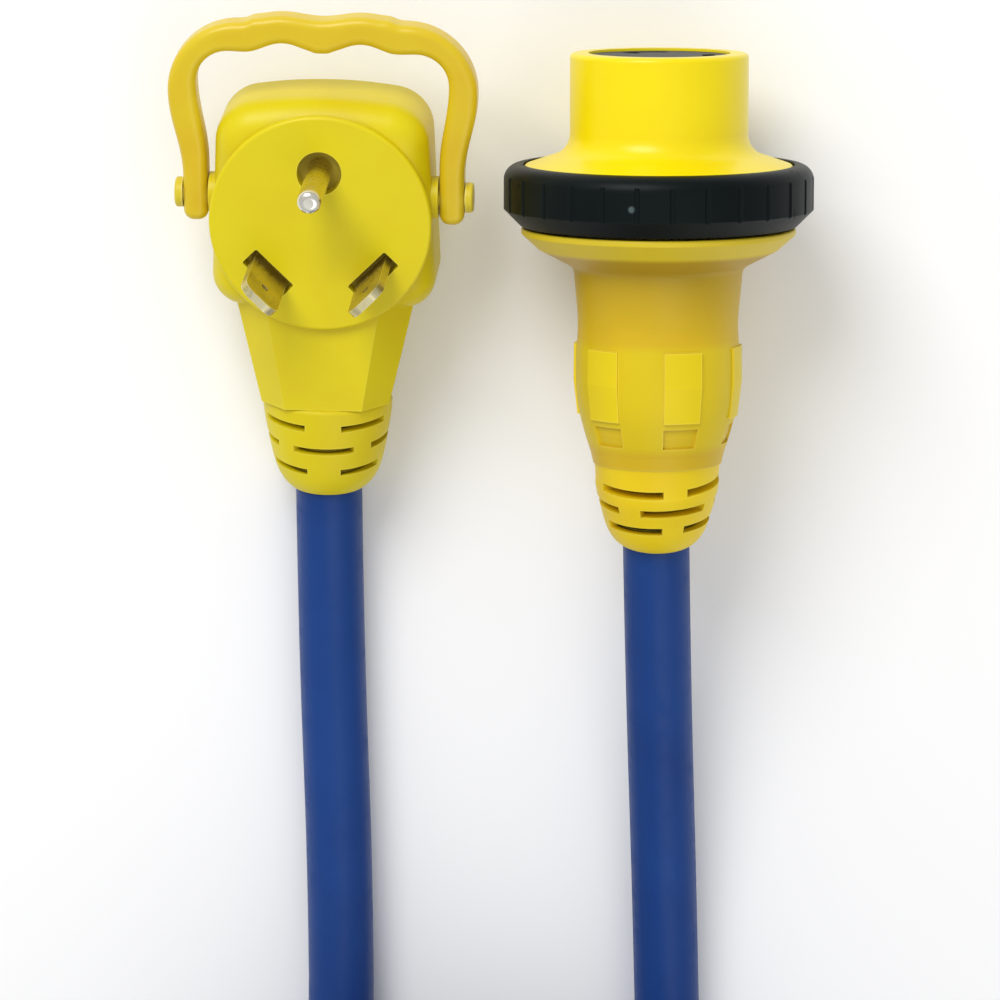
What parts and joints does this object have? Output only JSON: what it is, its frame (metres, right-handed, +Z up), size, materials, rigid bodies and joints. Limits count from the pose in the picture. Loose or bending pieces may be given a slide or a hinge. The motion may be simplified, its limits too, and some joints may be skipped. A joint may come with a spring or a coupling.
{
  "type": "shore power cord",
  "caption": "Shore power cord for a camper: a straight-bladed plug with a swinging pull handle, a blue cable and a twist-lock connector with a turning coupling ring.",
  "frame": {"origin": "on the surface the cord lies on, under the middle of the two ends' bounding box", "axes": "+Z up from that surface, +Y from the cords towards the two ends' mouths, +X from the plug to the connector"},
  "size_m": [0.1599, 0.6004, 0.088],
  "materials": {
    "plug_shell": "satin moulded vinyl, bright yellow",
    "plug_face": "semi-gloss moulded, bright yellow",
    "carrier": "matt dark moulded resin",
    "blade_metal": "rolled, lightly scuffed",
    "pin_metal": "nickel plated, turned",
    "plug_relief": "satin moulded vinyl, bright yellow",
    "cable_core": "cut cable end, matt",
    "wire_black": "insulated conductor",
    "wire_white": "insulated conductor",
    "wire_green": "insulated conductor",
    "handle": "semi-gloss moulded, yellow",
    "pivot_head": "moulded, yellow",
    "connector_shell": "semi-gloss moulded, bright yellow",
    "insert": "matt dark moulded resin",
    "socket_metal": "formed strip",
    "ring": "near-black moulded, soft sheen",
    "grip": "satin moulded vinyl, deep yellow",
    "connector_relief": "satin moulded vinyl, yellow",
    "cord_jacket": "satin vinyl jacket, blue",
    "tie_webbing": "woven hook-and-loop strap, black"
  },
  "bodies": {
    "root": {"plug_housing": "plug_shell", "plug_face": "plug_face", "contact_carrier": "carrier", "line_blade": "blade_metal", "neutral_blade": "blade_metal", "ground_pin": "pin_metal", "plug_strain_relief": "plug_relief", "plug_cable_end": "cable_core", "plug_wire_line": "wire_black", "plug_wire_neutral": "wire_white", "plug_wire_ground": "wire_green", "handle_pin_left": "pivot_head", "handle_pin_right": "pivot_head", "connector_body": "connector_shell", "connector_insert": "insert", "socket_line": "socket_metal", "socket_neutral": "socket_metal", "socket_ground": "socket_metal", "connector_grip": "grip", "connector_strain_relief": "connector_relief", "connector_cable_end": "cable_core", "connector_wire_line": "wire_black", "connector_wire_neutral": "wire_white", "connector_wire_ground": "wire_green", "cord_plug_run": "cord_jacket", "cord_connector_run": "cord_jacket", "cord_hank": "cord_jacket", "hank_tie_left": "tie_webbing", "hank_tie_right": "tie_webbing"},
    "handle": {"handle": "handle"},
    "lock_ring": {"lock_ring": "ring"}
  },
  "joints": [
    {"name": "handle_swing", "type": "hinge", "parent": "root", "child": "handle", "pos_m": [-0.04116, 0.02149, 0.03174], "axis": [0.9976, -0.0157, 0.068], "range_deg": [-145, 60]},
    {"name": "ring_turn", "type": "hinge", "parent": "root", "child": "lock_ring", "pos_m": [0.0412, 0.0221, 0.03814], "axis": [0, 0.9999, 0.0122], "continuous": true}
  ]
}
